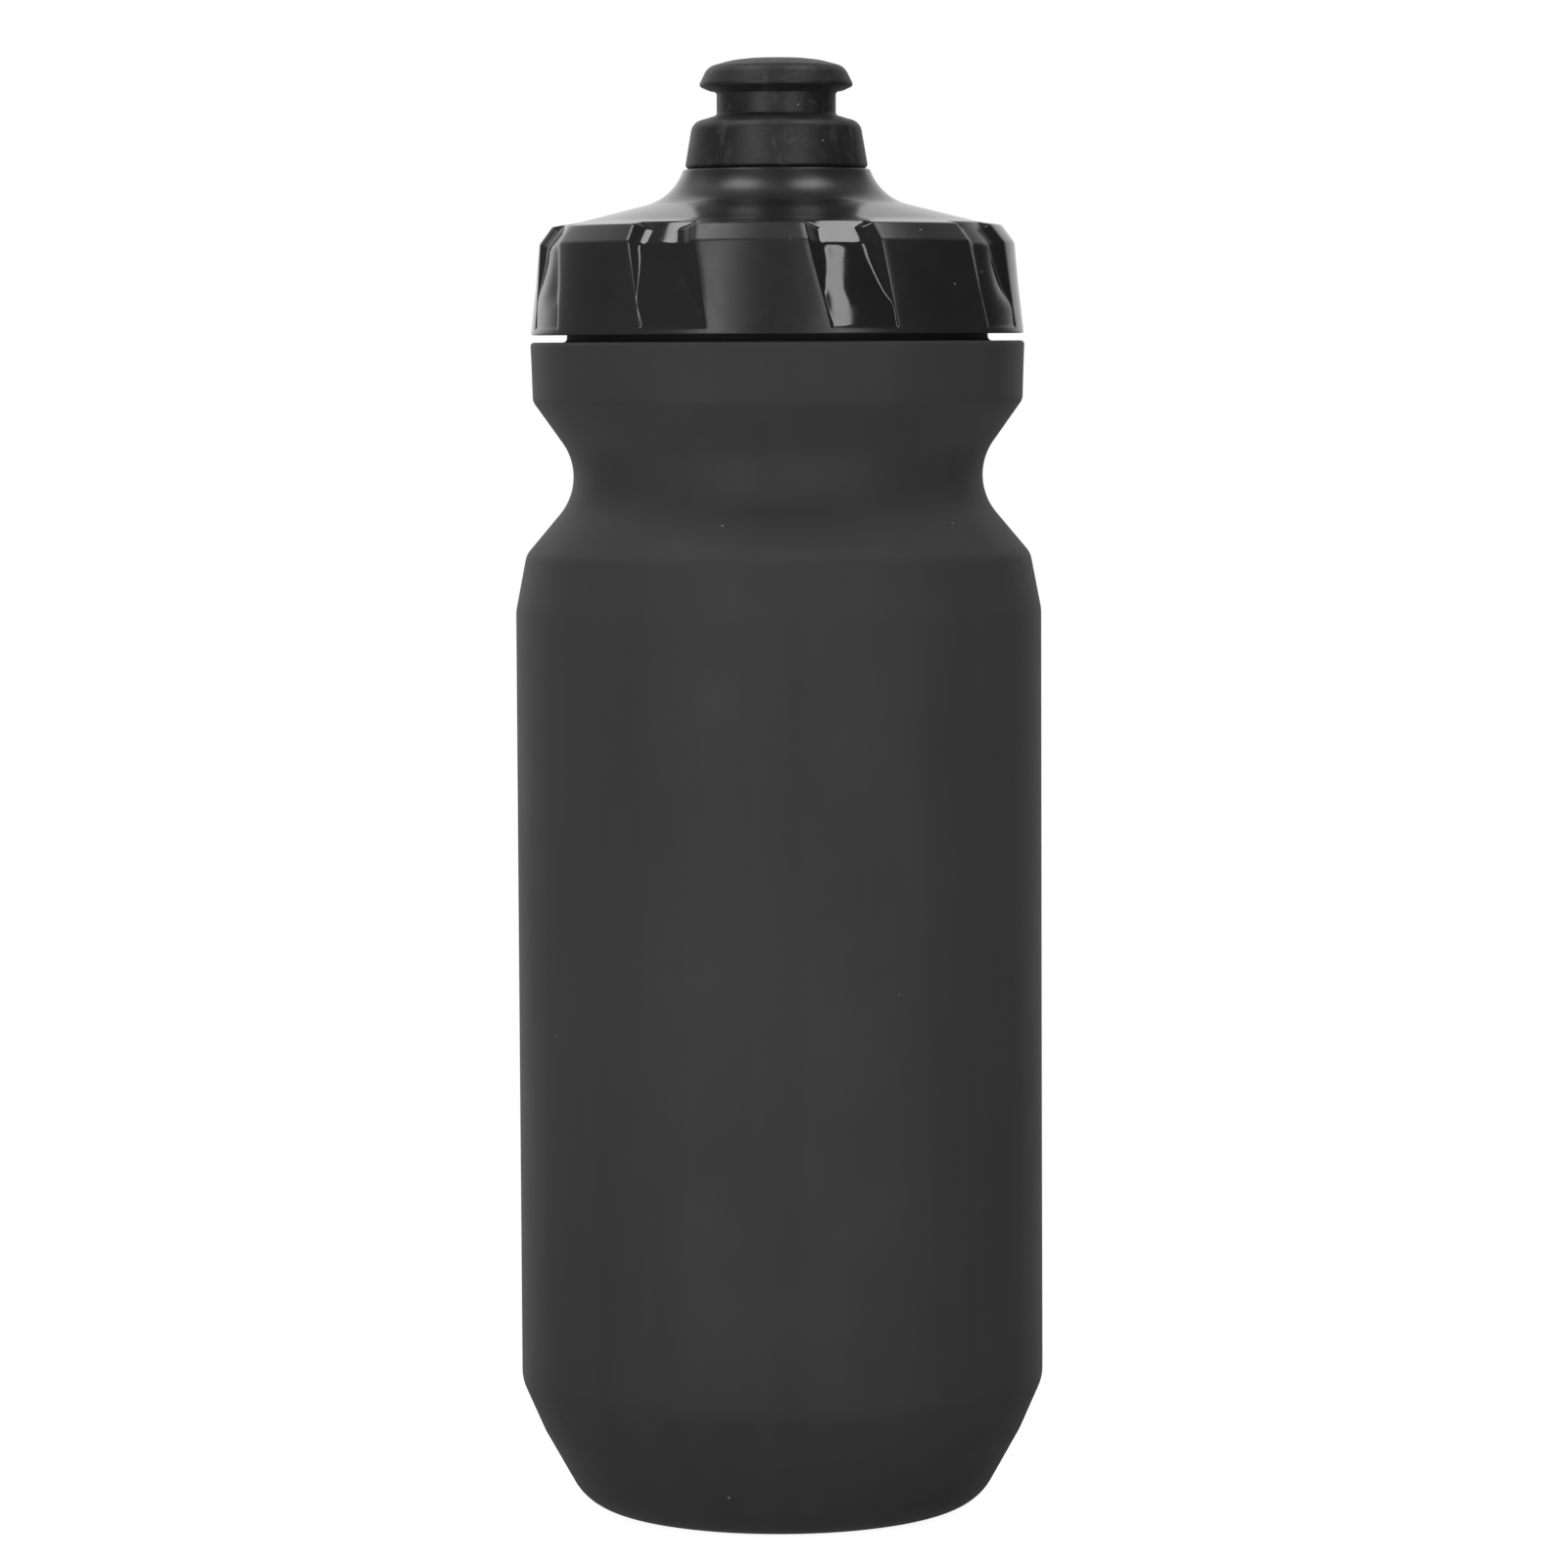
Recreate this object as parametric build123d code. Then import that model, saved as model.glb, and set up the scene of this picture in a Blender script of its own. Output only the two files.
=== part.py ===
from build123d import *
import os

# Sports squeeze bottle: blow-moulded bottle, screw lid with a push-pull drinking nozzle.
# Millimetres. The origin is the centre of the base, +Z is up, and every piece is in its rest
# place: lid screwed down and nozzle pushed in.

# Bottle
BODY_WALL = 1.4
BODY_RADIUS = 36.75
GRIP_BOTTOM_Z = 18.2
GRIP_TOP_Z = 126.3
WAIST_Z = 144.6
SHOULDER_Z = 163.7
NECK_RADIUS = 29.35
MOUTH_Z = 176.0
BASE_PUSH_UP = 3.0
FOOT_INNER_RADIUS = 20.5
FOOT_OUTER_RADIUS = 27.4
OUTLINE_PAST_MOUTH_Z = MOUTH_Z + 10

# Screw thread between bottle and lid
THREAD_LEAD = 5.0
THREAD_DEPTH = 1.2
THREAD_ROOT_WIDTH = 2.2
THREAD_CREST_WIDTH = 1.0
THREAD_RADIAL_GAP = 0.3
THREAD_FLANK_GAP = 0.15
THREAD_BOTTOM_Z = 167.0
BODY_THREAD_TURNS = 1.4
LID_THREAD_TURNS = 1.1
THREAD_EMBED = 0.4

# Lid
LID_BOTTOM_Z = 164.7
LID_TOP_Z = 187.6
LID_COLLAR_RADIUS = 13.0
LID_CONE_FOOT_RADIUS = 27.6
LID_CONE_FOOT_Z = 180.3
LID_SKIRT_TOP_Z = 177.3
LID_SKIRT_TOP_RADIUS = 33.1
LID_SKIRT_BOTTOM_RADIUS = 34.37
LID_PLATE_Z = 177.5
RECESS_COUNT = 8
RECESS_PITCH_DEG = 360 / RECESS_COUNT
RECESS_FIRST_DEG = 15.6
RECESS_DEPTH = 1.35
RECESS_BOTTOM_Z = 166.4
RECESS_WIDTH = 10.2
RECESS_LEAN = 2.9

# Gasket
GASKET_INNER_RADIUS = 27.4
GASKET_OUTER_RADIUS = 30.5

# Spout on the lid and the nozzle stem that slides in it
SPOUT_TOP_Z = 192.0
SPOUT_BOTTOM_Z = 177.0
SPOUT_OUTER_RADIUS = 10.2
SPOUT_TUBE_RADIUS = 9.6
SPOUT_BORE_RADIUS = 7.55
SLIDE_GAP = 0.1
STEM_RADIUS = SPOUT_BORE_RADIUS - SLIDE_GAP
STEM_BORE_RADIUS = 5.6
STEM_BOTTOM_Z = 179.6
NOZZLE_TRAVEL = 4.0
CATCH_RADIUS = 8.0
CATCH_HEIGHT = 1.2
CATCH_BORE_RADIUS = 8.15
CATCH_STOP_Z = STEM_BOTTOM_Z + CATCH_HEIGHT + NOZZLE_TRAVEL + 0.05
FINGER_COUNT = 4
FINGER_SLOT_WIDTH = 1.0
FINGER_SLOT_TOP_Z = 184.4

# Seal ring on the stem
SEAL_RADIUS = 0.5
SEAL_Z = 186.6
SEAL_GAP = 0.05
SEAL_GROOVE_WIDTH = 1.4
SEAL_GROOVE_RADIUS = SPOUT_BORE_RADIUS - 2 * SEAL_RADIUS - 2 * SEAL_GAP

# Shut-off plug and its seat
POST_RADIUS = 2.4
PLUG_RADIUS = 3.42
PLUG_TOP_Z = 196.9
SEAT_RADIUS = 3.5
POST_FLANGE_Z = 176.2
POST_RING_TOP_Z = 179.3
POST_RING_RADIUS = 6.5
SPOKE_COUNT = 3
SPOKE_WIDTH = 1.6
SPOKE_HEIGHT = 2.4

# Drinking nozzle
NOZZLE_TOP_Z = 203.0
NOZZLE_SKIRT_Z = 187.7
NOZZLE_SKIRT_BORE_RADIUS = 10.55
MUSHROOM_RADIUS = 10.78
CORE_FLANGE_Z = 192.15
CORE_NECK_RADIUS = 6.5
CORE_HEAD_Z = 198.8
CORE_HEAD_RADIUS = 8.6
CORE_TOP_Z = 199.9
MOUTH_HOLE_RADIUS = 3.2
MEMBRANE_RADIUS = 5.9
MEMBRANE_FLANGE_Z = CORE_TOP_Z - 0.9
SLIT_LENGTH = 4.4
SLIT_WIDTH = 0.12


def half_section(corners):
    """Face in the XZ plane from (radius, z, corner rounding) rows that go round the outline."""
    points = [(radius, z) for radius, z, rounding in corners]
    roundings = [rounding for radius, z, rounding in corners]
    return Plane.XZ * make_face(FilletPolyline(*points, radius=roundings, close=True))


def turned(corners):
    """Solid turned about Z from the corners of its half section."""
    return revolve(half_section(corners), Axis.Z)


def helical_ridge(root_radius, crest_radius, start_z, start_deg, turns):
    """Screw thread ridge, its root sunk a little into the wall that carries it."""
    inward = crest_radius < root_radius
    sink = root_radius + THREAD_EMBED if inward else root_radius - THREAD_EMBED
    flare = (THREAD_ROOT_WIDTH - THREAD_CREST_WIDTH) / 2 * THREAD_EMBED / THREAD_DEPTH
    root_half = THREAD_ROOT_WIDTH / 2 + flare
    crest_half = THREAD_CREST_WIDTH / 2
    path = Helix(THREAD_LEAD, THREAD_LEAD * turns, root_radius, center=(0, 0, start_z))
    plane = Plane(origin=path @ 0, x_dir=(1, 0, 0), z_dir=path % 0)
    sunk = sink - root_radius
    proud = crest_radius - root_radius
    outline = Polyline((sunk, -root_half), (proud, -crest_half), (proud, crest_half),
                       (sunk, root_half), close=True)
    ridge = sweep(plane * make_face(outline), path=path, is_frenet=True)
    return Rot(0, 0, start_deg) * ridge


def bottle_outline():
    """Outer half outline of the bottle, run on past the mouth so that the inside opens there."""
    return [
        (0.0, BASE_PUSH_UP, 0),
        (15.0, BASE_PUSH_UP, 6),
        (FOOT_INNER_RADIUS, 0.0, 1.5),
        (FOOT_OUTER_RADIUS, 0.0, 7.5),
        (33.65, 11.1, 6),
        (BODY_RADIUS, GRIP_BOTTOM_Z, 6),
        (BODY_RADIUS, GRIP_TOP_Z, 6),
        (35.25, 134.1, 3),
        (26.45, WAIST_Z, 8.2),
        (34.2, 155.5, 1.8),
        (34.45, SHOULDER_Z, 0.8),
        (NECK_RADIUS, SHOULDER_Z, 0.6),
        (NECK_RADIUS, OUTLINE_PAST_MOUTH_Z, 0),
        (0.0, OUTLINE_PAST_MOUTH_Z, 0),
    ]


def make_bottle_body():
    """Blow-moulded shell with a pushed-up base, a waist and a threaded neck."""
    outer_face = half_section(bottle_outline())
    whole_face = outer_face + mirror(outer_face, Plane.YZ)
    inner_face = offset(whole_face, amount=-BODY_WALL, kind=Kind.ARC)
    right_side = half_section([
        (0, 0, 0),
        (BODY_RADIUS, 0, 0),
        (BODY_RADIUS, OUTLINE_PAST_MOUTH_Z, 0),
        (0, OUTLINE_PAST_MOUTH_Z, 0),
    ])
    inner_half = inner_face & right_side
    shell = revolve(outer_face, Axis.Z) - revolve(inner_half, Axis.Z)
    over_mouth = Cylinder(BODY_RADIUS, 2 * (OUTLINE_PAST_MOUTH_Z - MOUTH_Z))
    shell -= Pos(0, 0, OUTLINE_PAST_MOUTH_Z) * over_mouth
    thread = helical_ridge(NECK_RADIUS, NECK_RADIUS + THREAD_DEPTH, THREAD_BOTTOM_Z, 0,
                           BODY_THREAD_TURNS)
    return shell + thread


def make_lid_gasket():
    """Flat silicone ring between the bottle's mouth and the lid."""
    return turned([
        (GASKET_INNER_RADIUS, MOUTH_Z, 0.3),
        (GASKET_OUTER_RADIUS, MOUTH_Z, 0.3),
        (GASKET_OUTER_RADIUS, LID_PLATE_Z, 0.3),
        (GASKET_INNER_RADIUS, LID_PLATE_Z, 0.3),
    ])


def lid_inner_corners():
    """Underside of the lid, from the skirt's bottom edge round to the spout's bore."""
    thread_root = NECK_RADIUS + THREAD_DEPTH + THREAD_RADIAL_GAP
    return [
        (31.9, LID_BOTTOM_Z, 0.2),
        (31.9, 165.6, 0),
        (thread_root, 166.2, 0),
        (thread_root, LID_PLATE_Z, 0.3),
        (27.1, LID_PLATE_Z, 0),
        (27.1, 175.2, 0.3),
        (25.9, 175.2, 0.3),
        (25.9, 178.6, 0.5),
        (16.0, 181.1, 5),
        (12.0, 184.9, 1),
        (SPOUT_TUBE_RADIUS, 184.9, 0.5),
        (SPOUT_TUBE_RADIUS, SPOUT_BOTTOM_Z, 0),
        (CATCH_BORE_RADIUS, SPOUT_BOTTOM_Z, 0),
        (CATCH_BORE_RADIUS, CATCH_STOP_Z, 0),
        (SPOUT_BORE_RADIUS, CATCH_STOP_Z, 0),
    ]


def lid_outer_corners():
    """Top of the lid, from the spout's mouth out over the cone and down the skirt."""
    return [
        (SPOUT_BORE_RADIUS, SPOUT_TOP_Z, 0.3),
        (SPOUT_OUTER_RADIUS, SPOUT_TOP_Z, 0.4),
        (SPOUT_OUTER_RADIUS, LID_TOP_Z, 0),
        (LID_COLLAR_RADIUS, LID_TOP_Z, 0.35),
        (14.6, 183.6, 7.6),
        (LID_CONE_FOOT_RADIUS, LID_CONE_FOOT_Z, 0.4),
        (31.3, 179.72, 0.5),
        (LID_SKIRT_TOP_RADIUS, LID_SKIRT_TOP_Z, 0.8),
        (33.6, 171.5, 12),
        (LID_SKIRT_BOTTOM_RADIUS, LID_BOTTOM_Z, 0.25),
    ]


def recess_blank():
    """Ring that is the lid's skirt outside the recess floor, which rises to meet it at the foot."""
    outside = LID_SKIRT_BOTTOM_RADIUS + 5
    start_radius = LID_CONE_FOOT_RADIUS + 0.5
    return turned([
        (start_radius, LID_CONE_FOOT_Z + 3, 0),
        (start_radius, LID_CONE_FOOT_Z - 0.15, 0),
        (LID_SKIRT_TOP_RADIUS - RECESS_DEPTH - 0.9, LID_SKIRT_TOP_Z + 1.2, 0.5),
        (LID_SKIRT_TOP_RADIUS - RECESS_DEPTH, LID_SKIRT_TOP_Z - 0.8, 1.5),
        (34.0, RECESS_BOTTOM_Z, 0),
        (outside, RECESS_BOTTOM_Z, 0),
        (outside, LID_CONE_FOOT_Z + 3, 0),
    ])


def recess_cutters():
    """Leaning windows, one per grip recess, each bounded by the ring of recess_blank."""
    half = RECESS_WIDTH / 2
    window = make_face(FilletPolyline(
        (-half, LID_CONE_FOOT_Z + 3), (half, LID_CONE_FOOT_Z + 3),
        (half + RECESS_LEAN, RECESS_BOTTOM_Z), (-half + RECESS_LEAN, RECESS_BOTTOM_Z),
        radius=[0, 0, 1.5, 1.5], close=True))
    prism = extrude(Plane.XZ * window, amount=LID_SKIRT_BOTTOM_RADIUS + 10)
    blank = recess_blank()
    return [Rot(0, 0, RECESS_FIRST_DEG + k * RECESS_PITCH_DEG) * prism & blank
            for k in range(RECESS_COUNT)]


def lid_thread():
    """Thread inside the skirt, sitting just under the bottle's thread when screwed down."""
    neck_crest = NECK_RADIUS + THREAD_DEPTH
    lid_root = neck_crest + THREAD_RADIAL_GAP
    lid_crest = lid_root - THREAD_DEPTH
    engaged = (neck_crest - lid_crest) / 2
    slope = (THREAD_ROOT_WIDTH - THREAD_CREST_WIDTH) / 2 / THREAD_DEPTH
    half_at_contact = THREAD_CREST_WIDTH / 2 + slope * engaged
    drop = 2 * half_at_contact + THREAD_FLANK_GAP
    delay_turns = drop / THREAD_LEAD
    return helical_ridge(lid_root, lid_crest, THREAD_BOTTOM_Z, 360 * delay_turns,
                         LID_THREAD_TURNS)


def make_lid_shell():
    """Screw lid: cone, grip skirt with eight leaning recesses, thread, plug ring and spout."""
    lid = turned(lid_outer_corners() + lid_inner_corners())
    for cutter in recess_cutters():
        lid -= cutter
    return lid + lid_thread()


def make_valve_post():
    """Shut-off plug on a post, held by three spokes in a ring pressed into the spout."""
    post = turned([
        (0, POST_FLANGE_Z, 0),
        (POST_RADIUS, POST_FLANGE_Z, 0.3),
        (POST_RADIUS, PLUG_TOP_Z - 3.4, 0.5),
        (PLUG_RADIUS, PLUG_TOP_Z - 2.2, 0.3),
        (PLUG_RADIUS, PLUG_TOP_Z, 0.6),
        (0, PLUG_TOP_Z, 0),
    ])
    ring = turned([
        (POST_RING_RADIUS, POST_FLANGE_Z, 0.2),
        (SPOUT_TUBE_RADIUS, POST_FLANGE_Z, 0.2),
        (SPOUT_TUBE_RADIUS, SPOUT_BOTTOM_Z, 0),
        (CATCH_BORE_RADIUS, SPOUT_BOTTOM_Z, 0),
        (CATCH_BORE_RADIUS, POST_RING_TOP_Z, 0.2),
        (POST_RING_RADIUS, POST_RING_TOP_Z, 0.2),
    ])
    spoke_start = POST_RADIUS / 2
    spoke_end = (POST_RING_RADIUS + CATCH_BORE_RADIUS) / 2
    spoke = Box(spoke_end - spoke_start, SPOKE_WIDTH, SPOKE_HEIGHT)
    spoke = Pos((spoke_start + spoke_end) / 2, 0, POST_FLANGE_Z + SPOKE_HEIGHT / 2) * spoke
    for k in range(SPOKE_COUNT):
        post += Rot(0, 0, 360 * k / SPOKE_COUNT) * spoke
    return post + ring


def core_corners():
    """Half section of the nozzle core: sliding stem, flange, neck tube and head flange."""
    return [
        (STEM_BORE_RADIUS, STEM_BOTTOM_Z, 0.2),
        (7.3, STEM_BOTTOM_Z, 0.1),
        (CATCH_RADIUS, STEM_BOTTOM_Z + 0.7, 0),
        (CATCH_RADIUS, STEM_BOTTOM_Z + CATCH_HEIGHT, 0.1),
        (STEM_RADIUS, STEM_BOTTOM_Z + CATCH_HEIGHT, 0),
        (STEM_RADIUS, SEAL_Z - SEAL_GROOVE_WIDTH / 2, 0),
        (SEAL_GROOVE_RADIUS, SEAL_Z - SEAL_GROOVE_WIDTH / 2, 0),
        (SEAL_GROOVE_RADIUS, SEAL_Z + SEAL_GROOVE_WIDTH / 2, 0),
        (STEM_RADIUS, SEAL_Z + SEAL_GROOVE_WIDTH / 2, 0),
        (STEM_RADIUS, CORE_FLANGE_Z, 0),
        (NOZZLE_SKIRT_BORE_RADIUS, CORE_FLANGE_Z, 0.2),
        (NOZZLE_SKIRT_BORE_RADIUS, CORE_FLANGE_Z + 1.0, 0.4),
        (CORE_NECK_RADIUS, CORE_FLANGE_Z + 1.6, 0.5),
        (CORE_NECK_RADIUS, CORE_HEAD_Z, 0.2),
        (CORE_HEAD_RADIUS, CORE_HEAD_Z, 0.3),
        (CORE_HEAD_RADIUS, CORE_TOP_Z, 0.3),
        (MEMBRANE_RADIUS + 0.05, CORE_TOP_Z, 0),
        (MEMBRANE_RADIUS + 0.05, MEMBRANE_FLANGE_Z, 0),
        (4.6, MEMBRANE_FLANGE_Z, 0.2),
        (4.6, 197.9, 0.3),
        (SEAT_RADIUS, 197.1, 0.3),
        (SEAT_RADIUS, 194.5, 0.3),
        (STEM_BORE_RADIUS, 192.4, 0.5),
    ]


def make_nozzle_core():
    """Rigid stem with snap fingers at its foot, a shut-off seat and a head for the mouthpiece."""
    core = turned(core_corners())
    slot_height = 2 * (FINGER_SLOT_TOP_Z - STEM_BOTTOM_Z)
    slot_length = 6.0
    slot = Pos(STEM_RADIUS, 0, STEM_BOTTOM_Z) * Box(slot_length, FINGER_SLOT_WIDTH, slot_height)
    for k in range(FINGER_COUNT):
        core -= Rot(0, 0, 45 + 360 * k / FINGER_COUNT) * slot
    return core


def make_stem_o_ring():
    """Rubber ring in the stem's groove, just clear of the spout's bore."""
    centre_radius = SPOUT_BORE_RADIUS - SEAL_GAP - SEAL_RADIUS
    return Pos(0, 0, SEAL_Z) * Torus(centre_radius, SEAL_RADIUS)


def make_nozzle_mouthpiece(core, membrane):
    """Soft mushroom head, neck and skirt moulded over the core, with the mouth hole on top."""
    over = turned([
        (MOUTH_HOLE_RADIUS, CORE_TOP_Z, 0),
        (MOUTH_HOLE_RADIUS, NOZZLE_TOP_Z + 0.06, 0.7),
        (6.3, NOZZLE_TOP_Z - 0.3, 12),
        (9.55, NOZZLE_TOP_Z - 1.2, 2.2),
        (MUSHROOM_RADIUS, 199.45, 0.7),
        (9.5, 198.15, 1.2),
        (8.3, 197.9, 0.5),
        (8.3, 195.1, 0.5),
        (11.75, 194.1, 1.4),
        (12.75, 188.0, 0.5),
        (12.35, NOZZLE_SKIRT_Z, 0.2),
        (NOZZLE_SKIRT_BORE_RADIUS, NOZZLE_SKIRT_Z, 0.3),
        (NOZZLE_SKIRT_BORE_RADIUS, CORE_FLANGE_Z, 0),
        (6.0, CORE_FLANGE_Z + 0.3, 0),
        (6.0, CORE_TOP_Z, 0),
    ])
    return over - core - membrane


def make_valve_membrane():
    """Silicone disc with a cross slit, its rim held between the core and the mouthpiece."""
    disc = turned([
        (0, 198.8, 0),
        (2.6, 198.4, 0.6),
        (4.4, MEMBRANE_FLANGE_Z, 0.3),
        (MEMBRANE_RADIUS, MEMBRANE_FLANGE_Z, 0),
        (MEMBRANE_RADIUS, CORE_TOP_Z, 0.1),
        (3.7, CORE_TOP_Z, 0.3),
        (2.4, 199.1, 0.5),
        (0, 199.5, 0),
    ])
    slit = Box(SLIT_LENGTH, SLIT_WIDTH, 6)
    for angle in (0, 90):
        disc -= Rot(0, 0, 45 + angle) * Pos(0, 0, CORE_TOP_Z) * slit
    return disc


def main():
    os.makedirs("parts", exist_ok=True)
    nozzle_core = make_nozzle_core()
    valve_membrane = make_valve_membrane()
    nodes = {
        "bottle_body": make_bottle_body(),
        "lid_gasket": make_lid_gasket(),
        "lid_shell": make_lid_shell(),
        "valve_post": make_valve_post(),
        "nozzle_core": nozzle_core,
        "stem_o_ring": make_stem_o_ring(),
        "nozzle_mouthpiece": make_nozzle_mouthpiece(nozzle_core, valve_membrane),
        "valve_membrane": valve_membrane,
    }
    for name, solid in nodes.items():
        export_step(solid, f"parts/{name}.step")


main()
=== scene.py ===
import math

import bpy
import numpy as np
from mathutils import Matrix, Vector


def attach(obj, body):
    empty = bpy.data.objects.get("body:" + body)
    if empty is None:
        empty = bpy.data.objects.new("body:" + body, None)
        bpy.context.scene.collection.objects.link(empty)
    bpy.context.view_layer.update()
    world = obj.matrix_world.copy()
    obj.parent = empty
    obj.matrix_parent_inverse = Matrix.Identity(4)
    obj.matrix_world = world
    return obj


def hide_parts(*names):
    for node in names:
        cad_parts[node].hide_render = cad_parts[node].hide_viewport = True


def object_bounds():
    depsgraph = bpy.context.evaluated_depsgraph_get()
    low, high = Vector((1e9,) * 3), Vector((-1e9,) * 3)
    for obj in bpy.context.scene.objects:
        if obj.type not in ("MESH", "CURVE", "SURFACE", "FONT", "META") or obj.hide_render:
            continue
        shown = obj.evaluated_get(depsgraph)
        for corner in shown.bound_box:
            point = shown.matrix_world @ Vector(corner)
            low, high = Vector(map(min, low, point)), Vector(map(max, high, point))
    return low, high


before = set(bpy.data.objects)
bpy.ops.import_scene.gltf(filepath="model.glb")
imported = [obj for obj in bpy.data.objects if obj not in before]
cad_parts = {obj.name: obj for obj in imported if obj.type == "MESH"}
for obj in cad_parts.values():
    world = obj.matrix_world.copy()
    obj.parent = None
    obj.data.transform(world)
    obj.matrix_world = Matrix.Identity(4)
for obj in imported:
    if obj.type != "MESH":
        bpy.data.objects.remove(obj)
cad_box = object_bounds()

# Outlines, radii and heights are in millimetres, and MM turns them into metres. The floor,
# lights and camera are in metres. Azimuths go from the front (-Y) towards the right (+X).
MM = 0.001

# Screw thread shared by the bottle's neck and the lid
THREAD_LEAD = 5.0
THREAD_DEPTH = 1.2
THREAD_ROOT_WIDTH = 2.2
THREAD_CREST_WIDTH = 1.0
THREAD_START_Z = 167.0
THREAD_START_TURN = 0.25
THREAD_FADE_TURNS = 0.06
BODY_THREAD_TURNS = (0.0, 1.4)
LID_THREAD_DROP = 1.6
LID_THREAD_TURNS = (0.32, 1.42)
NECK_RADIUS = 29.35
LID_THREAD_ROOT = 30.85
MOUTH_Z = 176.0
BODY_WALL = 1.4


# ---------------------------------------------------------------- outlines

ARC_STEP_MAX_RAD = 0.35
SAME_POINT = 1e-4


def rounded_outline(corners, step, arc_step, closed=False):
    """Points (r, z) along straight runs and tangent arcs, from (r, z, rounding) corners."""
    count = len(corners)
    points = []
    for i, (r, z, rounding) in enumerate(corners):
        here = np.array((r, z), float)
        before = np.array(corners[i - 1][:2], float)
        after = np.array(corners[(i + 1) % count][:2], float)
        at_end = not closed and i in (0, count - 1)
        if at_end or rounding <= 0:
            points.append([here])
            continue
        to_before = (before - here) / np.linalg.norm(before - here)
        to_after = (after - here) / np.linalg.norm(after - here)
        half = math.acos(np.clip(to_before @ to_after, -1, 1)) / 2
        reach = rounding / math.tan(half)
        middle = here + (to_before + to_after) / np.linalg.norm(to_before + to_after) * (
            rounding / math.sin(half))
        start = here + to_before * reach - middle
        end = here + to_after * reach - middle
        sweep = math.atan2(start[0] * end[1] - start[1] * end[0], start @ end)
        steps = max(2, math.ceil(abs(sweep) * rounding / arc_step),
                    math.ceil(abs(sweep) / ARC_STEP_MAX_RAD))
        angles = math.atan2(start[1], start[0]) + np.linspace(0, sweep, steps + 1)
        points.append([middle + rounding * np.array((math.cos(a), math.sin(a))) for a in angles])
    outline = []
    for i, run in enumerate(points):
        outline.extend(run)
        if i == count - 1 and not closed:
            break
        a, b = run[-1], points[(i + 1) % count][0]
        parts = max(1, math.ceil(np.linalg.norm(b - a) / step))
        outline.extend(a + (b - a) * k / parts for k in range(1, parts))
    outline = np.array(outline)
    keep = np.linalg.norm(np.diff(outline, axis=0, prepend=outline[-1:]), axis=1) > SAME_POINT
    keep[0] = keep[0] or not closed
    return outline[keep]


def resample(outline, step):
    """The same polyline with points at an even spacing."""
    lengths = np.r_[0, np.cumsum(np.linalg.norm(np.diff(outline, axis=0), axis=1))]
    marks = np.linspace(0, lengths[-1], max(2, round(lengths[-1] / step) + 1))
    return np.c_[np.interp(marks, lengths, outline[:, 0]), np.interp(marks, lengths, outline[:, 1])]


# ---------------------------------------------------------------- meshes

def swept_grid(name, radius, height, azimuth, closed=False, poles=(False, False)):
    """Mesh of revolution from arrays [row, column] of radius, height (mm) and azimuth (rad).

    closed joins the last row to the first, and poles closes the first and the last row on
    the axis."""
    rows, columns = radius.shape
    x = radius * np.sin(azimuth)
    y = -radius * np.cos(azimuth)
    points = np.stack((x, y, height), axis=-1).reshape(-1, 3) * MM
    index = np.arange(rows * columns).reshape(rows, columns)
    upper = index if closed else index[:-1]
    lower = np.roll(index, -1, axis=0) if closed else index[1:]
    quads = np.stack(
        (upper, lower, np.roll(lower, -1, axis=1), np.roll(upper, -1, axis=1)), axis=-1)
    faces = [tuple(q) for q in quads.reshape(-1, 4).tolist()]
    extra = []
    for row, wanted, flip in ((0, poles[0], False), (rows - 1, poles[1], True)):
        if not wanted:
            continue
        pole = len(points) + len(extra)
        extra.append((0.0, 0.0, float(height[row].mean()) * MM))
        ring = index[row].tolist()
        for a, b in zip(ring, ring[1:] + ring[:1]):
            faces.append((pole, b, a) if flip else (pole, a, b))
    mesh = bpy.data.meshes.new(name)
    mesh.from_pydata(points.tolist() + extra, [], faces)
    mesh.shade_smooth()
    obj = bpy.data.objects.new(name, mesh)
    bpy.context.scene.collection.objects.link(obj)
    return obj


def turned_arrays(outline, columns):
    """Arrays [row, column] of radius, height and azimuth that turn an outline round the axis."""
    azimuth = np.tile(np.linspace(0, 2 * math.pi, columns, endpoint=False), (len(outline), 1))
    radius = np.repeat(outline[:, :1], columns, axis=1)
    height = np.repeat(outline[:, 1:], columns, axis=1)
    return radius, height, azimuth


def smoothstep(x, start=0.0, end=1.0):
    """0 at the start and 1 at the end, held on both sides, and a smooth step between them."""
    x = np.clip((x - start) / (end - start), 0, 1)
    return x * x * (3 - 2 * x)


def soft_min(a, b, width):
    """min(a, b) with the corner rounded where the two differ by less than a width."""
    h = np.maximum(width - np.abs(a - b), 0) / width
    return np.minimum(a, b) - h * h * width / 4


def soft_clip(x, width):
    """max(x, 0) with the corner rounded over +-width."""
    return np.where(x > width, x, np.where(x < -width, 0, (x + width) ** 2 / (4 * width)))


RAMP_ROUNDING = 0.15


def soft_ramp(x, start, end):
    """0 before start and 1 after end, straight between them but for rounded corners."""
    x = (x - start) / (end - start)
    return soft_clip(x, RAMP_ROUNDING) - soft_clip(x - 1, RAMP_ROUNDING)


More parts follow.
